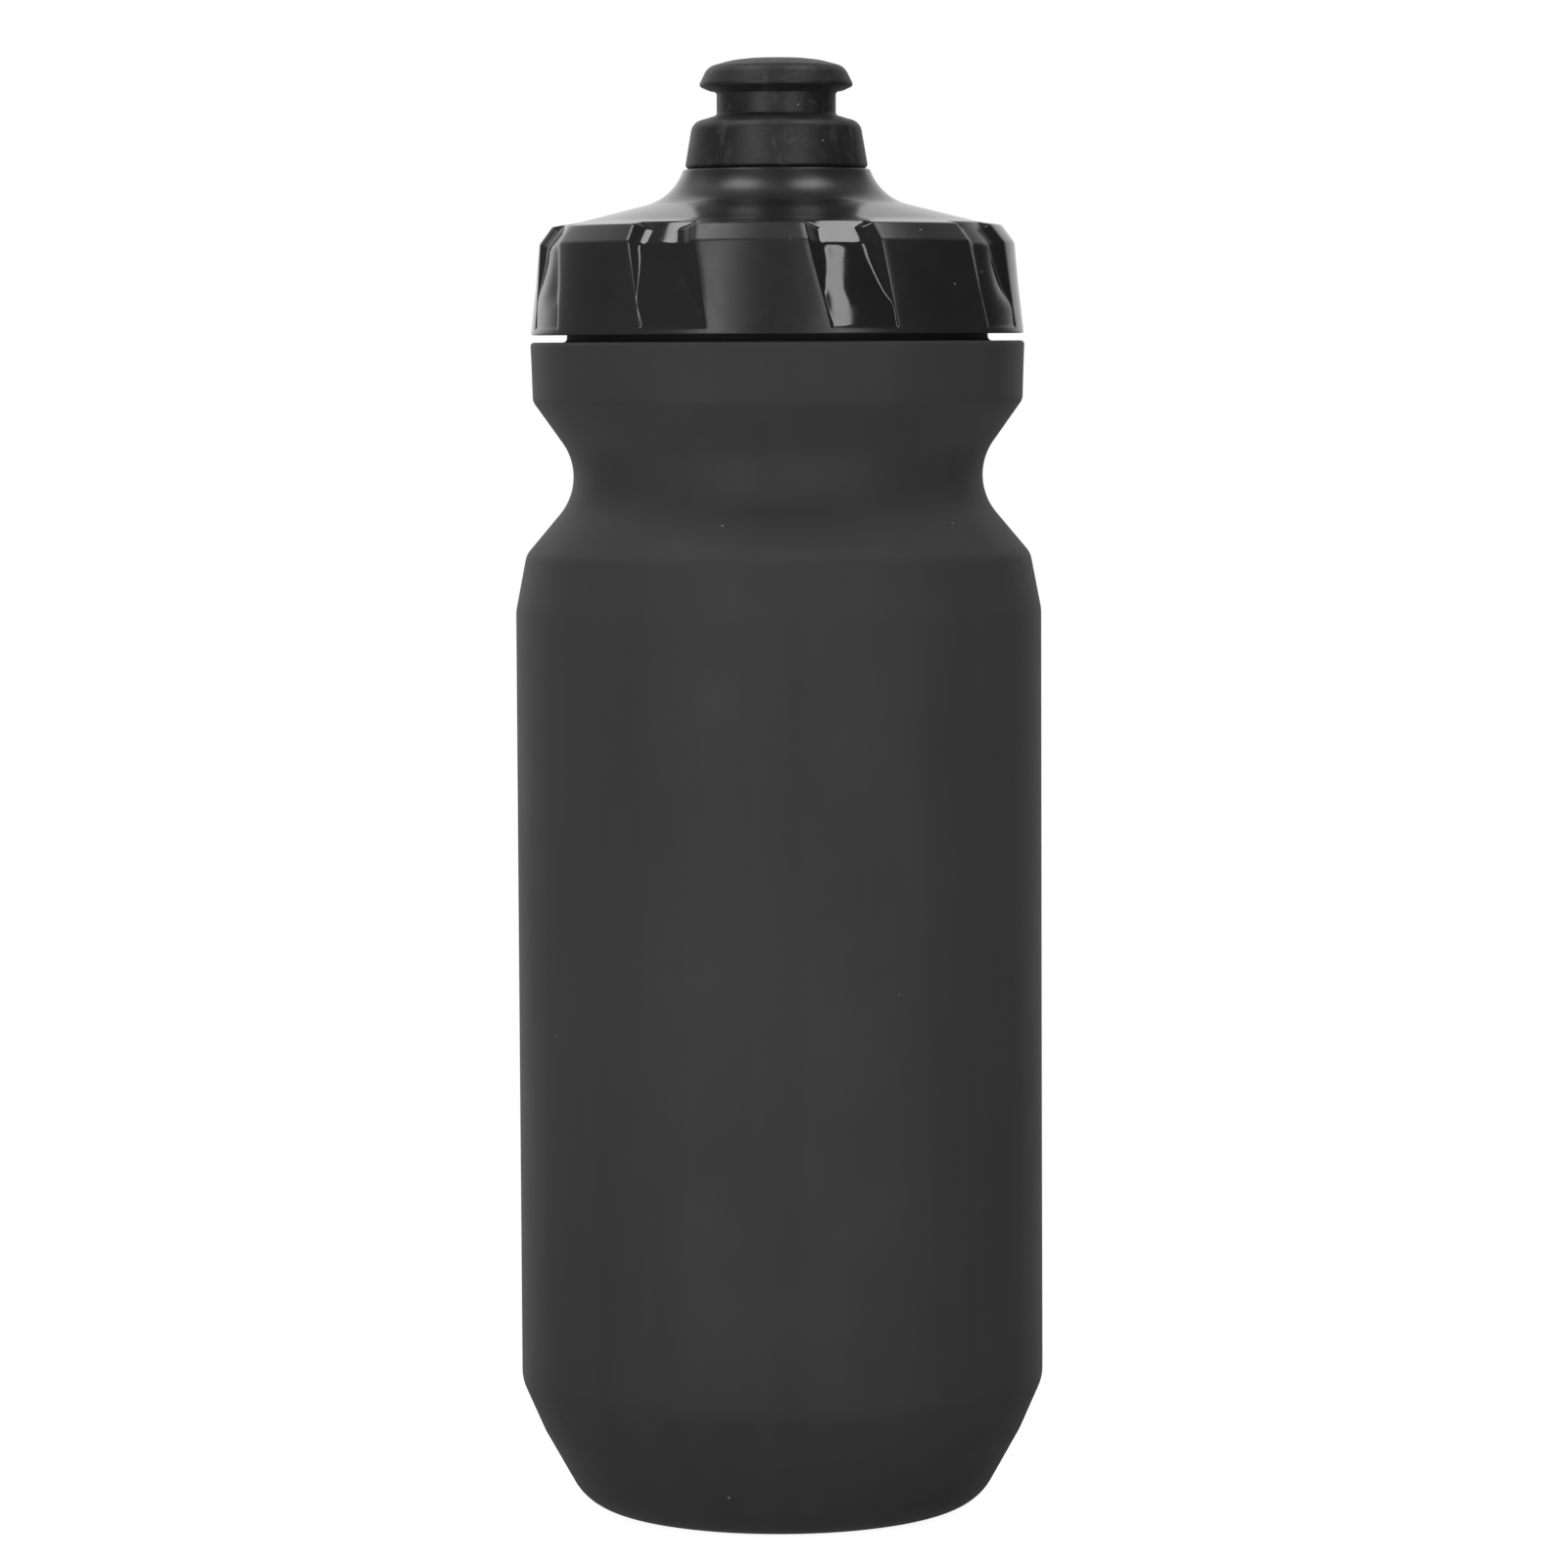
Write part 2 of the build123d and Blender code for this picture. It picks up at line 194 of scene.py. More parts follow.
def thread_height(azimuth, height, start_z, turns):
    """Height of a helical ridge over its wall, in mm, faded in and out at the ends."""
    turn = (azimuth / (2 * math.pi) - THREAD_START_TURN) % 1.0
    ridge = np.zeros_like(height)
    slope = (THREAD_ROOT_WIDTH - THREAD_CREST_WIDTH) / 2 / THREAD_DEPTH
    for lap in range(-1, 3):
        along = turn + lap
        off = np.abs(height - start_z - THREAD_LEAD * along)
        section = np.clip((THREAD_ROOT_WIDTH / 2 - off) / slope, 0, THREAD_DEPTH)
        start = smoothstep((along - turns[0]) / THREAD_FADE_TURNS)
        end = smoothstep((turns[1] - along) / THREAD_FADE_TURNS)
        ridge = np.maximum(ridge, section * start * end)
    return ridge


def finer(outline, low, high, step):
    """The outline with its straight runs between two heights cut into shorter steps."""
    points = [outline[0]]
    for a, b in zip(outline[:-1], outline[1:]):
        inside = low <= min(a[1], b[1]) and max(a[1], b[1]) <= high
        parts = max(1, math.ceil(np.linalg.norm(b - a) / step)) if inside else 1
        points.extend(a + (b - a) * k / parts for k in range(1, parts + 1))
    return np.array(points)


# ---------------------------------------------------------------- bottle

BOTTLE_COLUMNS = 208
BOTTLE_THREAD_ZONE = (164.4, 175.6)
BOTTLE_THREAD_ROW_STEP = 0.2
BOTTLE_OUTER = [
    (0.0, 3.0, 0), (15.0, 3.0, 6), (20.5, 0.0, 1.5), (27.4, 0.0, 7.5), (33.65, 11.1, 6),
    (36.75, 18.2, 6), (36.75, 126.3, 6), (35.25, 134.1, 3), (26.45, 144.6, 8.2),
    (34.2, 155.5, 1.8), (34.45, 163.7, 0.5), (NECK_RADIUS, 163.7, 0.6),
    (NECK_RADIUS, MOUTH_Z, 0.35), (NECK_RADIUS - BODY_WALL / 2, MOUTH_Z, 0),
]
BOTTLE_INNER = [
    (0.0, 4.4, 0), (15.5, 4.4, 4.6), (21.1, 1.5, 0.8), (26.5, 1.5, 6.1), (32.35, 11.6, 4.6),
    (35.35, 18.5, 4.6), (35.35, 126.2, 4.6), (33.95, 133.5, 1.6), (24.9, 144.6, 9.6),
    (32.85, 155.6, 0.6), (33.0, 162.3, 0), (27.95, 162.3, 2.0),
    (27.95, MOUTH_Z, 0.35), (NECK_RADIUS - BODY_WALL / 2, MOUTH_Z, 0),
]

NECK_FOOT_Z = 164.6

# The blown wall lies a little inside its nominal place and waves about there. The mould's two
# parting lines stand out on it, and a pinch line runs across the pushed-up base. Each pair of
# heights or radii is where such a feature starts and where it is full.
WALL_SINK = 0.035
WALL_WAVE = 0.017
WALL_FROM_Z = (2.0, 14.0)
WALL_UP_TO_Z = (163.3, 160.3)
SEAM_AZIMUTHS = (math.pi / 2, 3 * math.pi / 2)
SEAM_RADIUS = 36.0
SEAM_HEIGHT = 0.02
SEAM_WIDTH = 0.3
BASE_WITHIN_RADIUS = (21.0, 17.0)
BASE_TOP_Z = 5.0
PINCH_WITHIN_RADIUS = (17.0, 14.0)
PINCH_DEPTH = 0.35
PINCH_WIDTH = 0.5


def make_bottle():
    """Blow-moulded shell: thread on the neck, mould parting lines and a slightly uneven wall."""
    inner = rounded_outline(BOTTLE_INNER, step=3.0, arc_step=0.8)[1:]
    outer = rounded_outline(BOTTLE_OUTER, step=1.6, arc_step=0.5)
    outer = finer(outer, *BOTTLE_THREAD_ZONE, BOTTLE_THREAD_ROW_STEP)[1:-1]
    outline = np.concatenate((inner, outer[::-1]))
    on_outside = np.concatenate((np.zeros(len(inner)), np.ones(len(outer))))[:, None]
    radius, height, azimuth = turned_arrays(outline, BOTTLE_COLUMNS)

    in_neck = on_outside * (height > NECK_FOOT_Z)
    radius = radius + in_neck * thread_height(azimuth, height, THREAD_START_Z, BODY_THREAD_TURNS)

    on_wall = smoothstep(height, *WALL_FROM_Z) * smoothstep(height, *WALL_UP_TO_Z) * on_outside
    # Three slow waves round and up the wall that never fall into step
    unevenness = (np.sin(2 * azimuth + 0.7) * np.sin(height / 31 + 0.4)
                  + 0.6 * np.sin(3 * azimuth - 1.1 + height / 60)
                  + 0.5 * np.sin(5 * azimuth + height / 23))
    radius = radius - on_wall * (WALL_SINK - WALL_WAVE * unevenness)
    for seam in SEAM_AZIMUTHS:
        off = (azimuth - seam) * SEAM_RADIUS / SEAM_WIDTH
        radius = radius + on_wall * SEAM_HEIGHT * np.exp(-off ** 2)

    on_base = smoothstep(radius, *BASE_WITHIN_RADIUS) * (height < BASE_TOP_Z) * on_outside
    pinch = np.exp(-((radius * np.cos(azimuth)) / PINCH_WIDTH) ** 2)
    pinch = pinch * smoothstep(radius, *PINCH_WITHIN_RADIUS)
    height = height - on_base * PINCH_DEPTH * pinch
    return swept_grid("bottle_skin", radius, height, azimuth, poles=(True, True))


# ---------------------------------------------------------------- lid

LID_OUTER = [
    (7.55, 192.0, 0.3), (10.2, 192.0, 0.4), (10.2, 187.6, 0), (13.0, 187.6, 0.35),
    (14.6, 183.6, 7.6), (27.6, 180.3, 0.4), (31.3, 179.72, 0.5), (33.1, 177.3, 0.8),
    (33.6, 171.5, 12), (34.37, 164.7, 0.25),
]
LID_INNER = [
    (31.9, 164.7, 0.2), (31.9, 165.6, 0), (LID_THREAD_ROOT, 166.2, 0),
    (LID_THREAD_ROOT, 177.5, 0.3), (27.1, 177.5, 0), (27.1, 175.2, 0.3), (25.9, 175.2, 0.3),
    (25.9, 178.6, 0.5), (16.0, 181.1, 5), (12.0, 184.9, 1), (9.6, 184.9, 0.5), (9.6, 177.0, 0),
    (8.15, 177.0, 0), (8.15, 184.85, 0), (7.55, 184.85, 0),
]
LID_OUTSIDE_END = (34.1, 164.7)
LID_ROW_STEP = 0.2
LID_FINE_TOP_Z = 180.6
LID_FINE_MIN_RADIUS = 27.0
LID_THREAD_ROW_STEP = 0.35
LID_THREAD_ZONE = (166.2, 177.3)
SAME_RADIUS = 0.01

# Grip recesses. At each of RECESS_HEIGHTS their edges stand at RECESS_LEFT_DEG and
# RECESS_RIGHT_DEG, and the side walls run in by the two runs for every millimetre of depth.
RECESS_COUNT = 8
RECESS_HEIGHTS = (166.0, 177.4, 179.8)
RECESS_LEFT_DEG = (12.1, 7.4, 6.8)
RECESS_RIGHT_DEG = (28.7, 25.25, 24.3)
RECESS_LEFT_RUN = 1.38
RECESS_RIGHT_RUN = 1.44

# Recess floor: its radius at each height, and a chamfer between two (r, z) points above it.
# On the right it is cut deeper, by RECESS_DEEPENING at the heights in RECESS_DEEPENING_Z,
# starting at the first azimuth in RECESS_DEEPENING_DEG and in full from the second one on.
RECESS_FLOOR_Z = (165.0, 166.1, 167.0, 168.4, 170.0, 171.3, 172.9, 175.0, 176.7, 179.0)
RECESS_FLOOR_RADIUS = (34.15, 34.03, 33.97, 33.87, 33.65, 33.28, 32.86, 32.40, 32.20, 32.05)
RECESS_CHAMFER = ((28.6, 181.2), (31.8, 177.2))
RECESS_DEEPENING_Z = (168.0, 168.6, 170.0, 171.4, 174.5, 176.8, 178.4)
RECESS_DEEPENING = (0.0, 0.04, 0.42, 0.48, 0.45, 0.38, 0.0)
RECESS_DEEPENING_DEG = (17.8, 25.5)
RECESS_RIPPLE = 0.004
FLOOR_SMOOTHING = 1.1
CHAMFER_CREASE = 0.35

# Roundings: between wall and floor, by a share of the floor's depth; at the outer edges, by a
# least value and a share of that depth; and at the ledge where the recess ends at the bottom
RECESS_BLEND_SHARE = 0.7
RECESS_BLEND_RANGE = (0.14, 0.85)
RECESS_ROUNDING = 0.3
RECESS_ROUNDING_MIN = 0.06
RECESS_ROUNDING_SHARE = 0.25
RECESS_LEDGE_Z = 165.5
RECESS_LEDGE_RUN = 0.55
RECESS_LEDGE_BLEND = 0.12

# The polish fades out over this width at the recess's edges. At the top, where the floor runs
# out, a multiple of the floor's depth stands for the distance to the edge.
POLISH_EDGE_WIDTH = 0.3
POLISH_TOP_FACTOR = 3

# Points sink towards this (r, z) centre, and are tried along the way there from the outline
RAY_CENTRE = (23.0, 171.0)
RAY_REACH = (-1.5, 5.0)
RAY_STEPS = 651
RAY_SLANT_MIN = 0.05

# Columns of one sector: left wall, floor, right wall and the land up to the next recess.
# On the underside they run back to where they stand at the top, between two radii.
RECESS_COLUMNS = (8, 14, 8, 13)
WALL_WIDTH_MIN = 0.35
WALL_RADIUS_MIN = 20.0
STEER_RADII = (16.0, 25.5)


EASE_SAMPLES = 15


def eased(x, xs, ys, width):
    """Interpolated table with its corners smoothed over a width."""
    offsets = np.linspace(-1, 1, EASE_SAMPLES)
    weights = 1 - np.abs(offsets)
    samples = [w * np.interp(x + o * width, xs, ys) for o, w in zip(offsets, weights)]
    return sum(samples) / weights.sum()


def recess_depths(radius, height):
    """Distance in mm from each outline point to the recess floor, towards the ray centre."""
    start = np.stack((radius, height), axis=1)
    ray = np.array(RAY_CENTRE) - start
    ray = ray / np.linalg.norm(ray, axis=1, keepdims=True)

    a, b = np.array(RECESS_CHAMFER)
    normal = np.array((a[1] - b[1], b[0] - a[0]))
    normal = normal / np.linalg.norm(normal)
    chamfer = (start - a) @ normal / np.maximum(-(ray @ normal), RAY_SLANT_MIN)

    steps = np.linspace(*RAY_REACH, RAY_STEPS)
    floor = np.empty(len(radius))
    for i, (place, way) in enumerate(zip(start, ray)):
        along = place + steps[:, None] * way
        floor_radius = eased(along[:, 1], RECESS_FLOOR_Z, RECESS_FLOOR_RADIUS, FLOOR_SMOOTHING)
        floor[i] = np.interp(0, floor_radius - along[:, 0], steps)
    return -soft_min(-chamfer, -floor, CHAMFER_CREASE)


def lid_rows():
    """Outline of the lid with fine rows over recesses and thread, and which rows are inside."""
    outline = rounded_outline(LID_OUTER + LID_INNER, step=1.5, arc_step=0.32, closed=True)
    outer_end = int(np.argmin(np.linalg.norm(outline - LID_OUTSIDE_END, axis=1)))
    rows_out = outline[:outer_end]
    rows_in = outline[outer_end:]
    zone = (rows_out[:, 1] < LID_FINE_TOP_Z) & (rows_out[:, 0] > LID_FINE_MIN_RADIUS)
    first, last = np.flatnonzero(zone)[[0, -1]]
    fine_zone = resample(rows_out[first:last + 1], LID_ROW_STEP)
    rows_out = np.concatenate((rows_out[:first], fine_zone, rows_out[last + 1:]))
    rows_in = finer(rows_in, *LID_THREAD_ZONE, LID_THREAD_ROW_STEP)
    outline = np.concatenate((rows_out, rows_in))
    return outline, np.arange(len(outline)) >= len(rows_out)


def recess_edges(outline, inside):
    """Azimuths of the left and the right edge of the first recess on each row."""
    low, high = RECESS_HEIGHTS[0], RECESS_HEIGHTS[-1]
    steer = np.clip(outline[:, 1], low, high)
    across = np.interp(outline[:, 0], STEER_RADII, (1, 0))
    steer = np.where(inside, low + across * (high - low), steer)
    left = np.radians(np.interp(steer, RECESS_HEIGHTS, RECESS_LEFT_DEG))
    right = np.radians(np.interp(steer, RECESS_HEIGHTS, RECESS_RIGHT_DEG))
    return left, right


def wall_widths(run, floor_depth, radius, inside):
    """Angle in radians that a side wall covers on each row."""
    width = np.maximum(run * np.maximum(floor_depth, 0), WALL_WIDTH_MIN)
    return np.where(inside, WALL_WIDTH_MIN, width) / np.maximum(radius, WALL_RADIUS_MIN)


def make_lid():
    """Lid with its cone, eight leaning grip recesses, plug ring, inner thread and spout."""
    outline, inside = lid_rows()
    left, right = recess_edges(outline, inside)
    pitch = 2 * math.pi / RECESS_COUNT

    row_radius, row_height = outline[:, 0], outline[:, 1]
    floor_depth = recess_depths(row_radius, row_height)
    left_wall = wall_widths(RECESS_LEFT_RUN, floor_depth, row_radius, inside)
    right_wall = wall_widths(RECESS_RIGHT_RUN, floor_depth, row_radius, inside)
    stops = np.stack((left, left + left_wall, right - right_wall, right, left + pitch), axis=1)

    pieces = []
    for k, columns in enumerate(RECESS_COLUMNS):
        share = (1 - np.cos(math.pi * np.arange(columns) / columns)) / 2
        pieces.append(stops[:, k:k + 1] + (stops[:, k + 1:k + 2] - stops[:, k:k + 1]) * share)
    sector = np.concatenate(pieces, axis=1)
    azimuth = np.concatenate([sector + pitch * k for k in range(RECESS_COUNT)], axis=1)
    columns = azimuth.shape[1]
    radius = np.repeat(row_radius[:, None], columns, axis=1)
    height = np.repeat(row_height[:, None], columns, axis=1)

    local = np.concatenate([sector] * RECESS_COUNT, axis=1)
    from_left = (local - left[:, None]) * radius
    from_right = (right[:, None] - local) * radius
    from_ledge = height - RECESS_LEDGE_Z
    from_top = POLISH_TOP_FACTOR * floor_depth[:, None]
    deepening = eased(row_height, RECESS_DEEPENING_Z, RECESS_DEEPENING, FLOOR_SMOOTHING)[:, None]
    deepening = deepening * soft_ramp(np.degrees(local), *RECESS_DEEPENING_DEG)
    ripple = np.sin(local * 60 + height / 1.9) * np.sin(height / 2.6 + local * 31)
    floor = floor_depth[:, None] + deepening + RECESS_RIPPLE * ripple
    blend = np.clip(RECESS_BLEND_SHARE * floor, *RECESS_BLEND_RANGE)
    depth = soft_min(floor, from_left / RECESS_LEFT_RUN, blend)
    depth = soft_min(depth, from_right / RECESS_RIGHT_RUN, blend)
    depth = soft_min(depth, from_ledge / RECESS_LEDGE_RUN, RECESS_LEDGE_BLEND)
    depth = np.where(inside[:, None], -1.0, depth)
    rounding = RECESS_ROUNDING_MIN + RECESS_ROUNDING_SHARE * np.maximum(floor, 0)
    depth = soft_clip(depth, np.minimum(RECESS_ROUNDING, rounding))
    margin = np.minimum(np.minimum(from_left, from_right), np.minimum(from_ledge, from_top))
    polish = np.where(inside[:, None], 0.0, smoothstep(0.5 + margin / POLISH_EDGE_WIDTH))
    to_centre_r = RAY_CENTRE[0] - radius
    to_centre_z = RAY_CENTRE[1] - height
    length = np.hypot(to_centre_r, to_centre_z)
    radius = radius + depth * to_centre_r / length
    height = height + depth * to_centre_z / length

    in_skirt = inside[:, None] & (np.abs(radius - LID_THREAD_ROOT) < SAME_RADIUS)
    ridge = thread_height(azimuth, height, THREAD_START_Z - LID_THREAD_DROP, LID_THREAD_TURNS)
    radius = radius - in_skirt * ridge
    lid = swept_grid("lid_cap", radius, height, azimuth, closed=True)
    layer = lid.data.attributes.new("polish", 'FLOAT', 'POINT')
    layer.data.foreach_set("value", polish.astype(np.float32).ravel())
    return lid


# ---------------------------------------------------------------- mouthpiece

MOUTHPIECE = [
    (3.2, 199.93, 0), (3.2, 203.06, 0.7), (6.3, 202.7, 12), (9.55, 201.8, 2.2),
    (10.85, 199.15, 0.45), (9.4, 198.5, 0.9), (8.3, 198.3, 0.5), (8.3, 195.1, 0.5),
    (11.75, 194.1, 1.9), (12.75, 188.0, 0.5), (12.35, 187.7, 0.2), (10.6, 187.7, 0.3),
    (10.6, 193.2, 0.2), (6.53, 193.8, 0.2), (6.53, 198.77, 0), (8.63, 198.77, 0),
    (8.63, 199.93, 0),
]
MOUTHPIECE_COLUMNS = 160
MOUTHPIECE_UNEVEN_RADIUS = (8.8, 9.8)
MOUTHPIECE_SINK = 0.03
MOUTHPIECE_WAVE = 0.03


def make_mouthpiece():
    """Soft rubber mouthpiece, a little uneven as moulded rubber is."""
    outline = rounded_outline(MOUTHPIECE, step=0.35, arc_step=0.12, closed=True)
    radius, height, azimuth = turned_arrays(outline, MOUTHPIECE_COLUMNS)
    beyond_neck = smoothstep(radius, *MOUTHPIECE_UNEVEN_RADIUS)
    wave = np.sin(2 * azimuth + height / 4) ** 2
    radius = radius - beyond_neck * (MOUTHPIECE_SINK + MOUTHPIECE_WAVE * wave)
    return swept_grid("mouthpiece_skin", radius, height, azimuth, closed=True)


# ---------------------------------------------------------------- materials

def add_node(tree, kind, inputs=None, **settings):
    """New node with its settings, and its inputs given as values or as sockets to link."""
    made = tree.nodes.new(kind)
    for key, value in settings.items():
        setattr(made, key, value)
    for key, value in (inputs or {}).items():
        if isinstance(value, bpy.types.NodeSocket):
            tree.links.new(value, made.inputs[key])
        else:
            made.inputs[key].default_value = value
    return made


def range_node(tree, value, low, high, start=0.0, end=1.0, kind='SMOOTHSTEP'):
    """Value brought from one range to another, held at the ends, by default as a smooth step."""
    made = add_node(tree, "ShaderNodeMapRange", {
        "Value": value, "From Min": low, "From Max": high, "To Min": start, "To Max": end},
        interpolation_type=kind)
    return made.outputs["Result"]


def math_node(tree, operation, a, b):
    """Result of an operation on two values or sockets."""
    return add_node(tree, "ShaderNodeMath", {0: a, 1: b}, operation=operation).outputs["Value"]


def grey(value):
    """Neutral colour of a linear level."""
    return (value, value, value, 1.0)


# Specks go down to this share of their full size
SPECK_SMALLEST = 0.35
SPECK_THRESHOLD_WIDTH = 0.001


class Paint:
    """A material's node tree, with short calls for the patterns that all the plastics share.

    Pattern sizes are in millimetres."""

    def __init__(self, name):
        self.material = bpy.data.materials.new(name)
        self.material.use_nodes = True
        self.tree = self.material.node_tree
        self.shader = self.tree.nodes["Principled BSDF"]
        self.place = add_node(self.tree, "ShaderNodeTexCoord").outputs["Object"]

    def stretched(self, scale):
        """Place on the piece with its axes scaled, which draws a pattern out along them."""
        mapping = add_node(self.tree, "ShaderNodeMapping", {"Vector": self.place, "Scale": scale})
        return mapping.outputs["Vector"]

    def noise(self, size, detail=2.0, roughness=0.5, vector=None, distortion=0.0):
        """Cloudy pattern with lumps of a size."""
        made = add_node(self.tree, "ShaderNodeTexNoise", {
            "Vector": vector or self.place, "Scale": 1 / (size * MM), "Detail": detail,
            "Roughness": roughness, "Distortion": distortion})
        return made.outputs["Fac"]

    def ramp(self, value, low, high, start=0.0, end=1.0, kind='SMOOTHSTEP'):
        """A value from low to high brought to the range from start to end."""
        return range_node(self.tree, value, low, high, start, end, kind)

    def math(self, operation, a, b):
        """Result of an operation on two values or sockets."""
        return math_node(self.tree, operation, a, b)

    def mix_colour(self, share, a, b):
        """Colour a with a share of colour b."""
        made = add_node(self.tree, "ShaderNodeMix", {0: share, 6: a, 7: b}, data_type='RGBA')
        return made.outputs[2]

    def specks(self, spacing, size, share):
        """Mask of sparse round specks: one in each of a share of the cells."""
        cells = add_node(self.tree, "ShaderNodeTexVoronoi", {
            "Vector": self.place, "Scale": 1 / (spacing * MM)}).outputs
        split = add_node(self.tree, "ShaderNodeSeparateColor", {"Color": cells["Color"]})
        threshold = 1 - share
        chosen = self.ramp(
            split.outputs["Red"], threshold, threshold + SPECK_THRESHOLD_WIDTH, kind='LINEAR')
        spread = self.ramp(split.outputs["Green"], 0, 1, SPECK_SMALLEST, 1.0, kind='LINEAR')
        radius = self.math('MULTIPLY', spread, size / spacing)
        close = self.math('LESS_THAN', cells["Distance"], radius)
        return self.math('MULTIPLY', chosen, close)

    def bump(self, value, depth, strength, normal=None):
        """Normal of a relief, on top of another relief's normal where one is given."""
        inputs = {"Height": value, "Distance": depth * MM, "Strength": strength}
        if normal:
            inputs["Normal"] = normal
        return add_node(self.tree, "ShaderNodeBump", inputs).outputs["Normal"]

    def set(self, **inputs):
        """Shader inputs by name, with _ for a space."""
        for key, value in inputs.items():
            name = key.replace("_", " ")
            if isinstance(value, bpy.types.NodeSocket):
                self.tree.links.new(value, self.shader.inputs[name])
            else:
                self.shader.inputs[name].default_value = value


def bottle_plastic():
    """Soft dark grey polyethylene: fine matte grain, faint flow streaks, dust and light rubs."""
    p = Paint("bottle_plastic")
    cloud = p.noise(38, detail=3)
    streaks = p.noise(5, detail=3, vector=p.stretched((1, 1, 0.03)))
    tone = p.math('ADD', p.math('MULTIPLY', cloud, 0.6), p.math('MULTIPLY', streaks, 0.4))
    colour = p.mix_colour(p.ramp(tone, 0.35, 0.65), grey(0.034), grey(0.040))
    rubs = p.noise(9, detail=6, roughness=0.7, vector=p.stretched((1, 1, 0.35)))
    colour = p.mix_colour(p.ramp(rubs, 0.62, 0.85, 0, 0.35), colour, grey(0.06))
    dust = p.specks(spacing=6.0, size=0.18, share=0.4)
    colour = p.mix_colour(p.math('MULTIPLY', dust, 0.7), colour, grey(0.3))
    grain = p.noise(0.28, detail=3, roughness=0.6)
    normal = p.bump(p.noise(1.6, detail=2), depth=0.02, strength=0.5)
    normal = p.bump(grain, depth=0.02, strength=0.55, normal=normal)
    roughness = p.ramp(p.noise(14, detail=4), 0.3, 0.7, 0.62, 0.7)
    p.set(Base_Color=colour, Roughness=roughness, IOR=1.4, Normal=normal,
          Diffuse_Roughness=1.0, Sheen_Weight=0.06, Sheen_Roughness=0.5)
    return p.material


def lid_plastic():
    """Hard black plastic, fine matte on the outside and polished in the grip recesses."""
    p = Paint("lid_plastic")
    polish = add_node(p.tree, "ShaderNodeAttribute", attribute_name="polish").outputs["Fac"]
    tone = p.noise(16, detail=4, roughness=0.6)
    colour = p.mix_colour(p.ramp(tone, 0.3, 0.7), grey(0.012), grey(0.016))
    dust = p.specks(spacing=2.8, size=0.16, share=0.4)
    colour = p.mix_colour(p.math('MULTIPLY', dust, 0.8), colour, grey(0.35))
    smears = p.noise(4.5, detail=5, roughness=0.65, distortion=0.8)
    matte = p.ramp(smears, 0.3, 0.75, 0.31, 0.37)
    glossy = p.ramp(smears, 0.35, 0.8, 0.07, 0.13)
    facing = add_node(p.tree, "ShaderNodeLayerWeight", {"Blend": 0.5}).outputs["Facing"]
    matte = p.math('MULTIPLY', matte, p.ramp(facing, 0.45, 0.9, 1.0, 0.4))
    roughness = add_node(p.tree, "ShaderNodeMix", {0: polish, 2: matte, 3: glossy}).outputs[0]
    grain = p.noise(0.22, detail=2, roughness=0.6)
    rough_part = p.math('SUBTRACT', 1.0, polish)
    normal = p.bump(p.math('MULTIPLY', grain, rough_part), depth=0.012, strength=0.5)
    normal = p.bump(p.noise(2.4, detail=2), depth=0.012, strength=0.35, normal=normal)
    p.set(Base_Color=colour, Roughness=roughness, IOR=1.5, Normal=normal)
    return p.material


def nozzle_rubber():
    """Soft black rubber with a dry bloom, cloudy finger marks and dust."""
    p = Paint("nozzle_rubber")
    bloom = p.noise(5.5, detail=5, roughness=0.6, distortion=0.4)
    colour = p.mix_colour(p.ramp(bloom, 0.35, 0.75), grey(0.008), grey(0.014))
    marks = p.noise(3.2, detail=6, roughness=0.62, distortion=1.2)
    colour = p.mix_colour(p.ramp(marks, 0.5, 0.7, 0, 0.75), colour, grey(0.05))
    dust = p.specks(spacing=1.7, size=0.16, share=0.4)
    colour = p.mix_colour(p.math('MULTIPLY', dust, 0.8), colour, grey(0.4))
    grain = p.noise(0.18, detail=3, roughness=0.65)
    normal = p.bump(p.noise(4.5, detail=2), depth=0.06, strength=0.5)
    normal = p.bump(grain, depth=0.012, strength=0.6, normal=normal)
    p.set(Base_Color=colour, Roughness=p.ramp(marks, 0.4, 0.8, 0.46, 0.6), IOR=1.48,
          Normal=normal, Sheen_Weight=0.03, Sheen_Roughness=0.5)
    return p.material


def inner_plastic():
    """Plain moulded dark plastic with faint flow lines and a satin face."""
    p = Paint("inner_plastic")
    flow = p.noise(3, detail=3, vector=p.stretched((1, 1, 0.25)), distortion=0.6)
    colour = p.mix_colour(p.ramp(flow, 0.3, 0.7), grey(0.026), grey(0.034))
    grain = p.noise(0.3, detail=2)
    p.set(Base_Color=colour, Roughness=p.ramp(flow, 0.3, 0.7, 0.32, 0.42), IOR=1.5,
          Normal=p.bump(grain, depth=0.01, strength=0.5))
    return p.material


def seal_silicone():
    """Smoky silicone: a little translucent, with a dull moulded skin and fine dust."""
    p = Paint("seal_silicone")
    haze = p.noise(2.2, detail=4)
    colour = p.mix_colour(p.ramp(haze, 0.3, 0.7), grey(0.27), grey(0.34))
    dust = p.specks(spacing=1.3, size=0.07, share=0.5)
    colour = p.mix_colour(p.math('MULTIPLY', dust, 0.5), colour, grey(0.6))
    p.set(Base_Color=colour, Roughness=p.ramp(haze, 0.3, 0.7, 0.36, 0.5), IOR=1.41,
          Subsurface_Weight=0.35, Subsurface_Scale=0.8 * MM,
          Normal=p.bump(p.noise(0.35, detail=3), depth=0.01, strength=0.5))
    return p.material


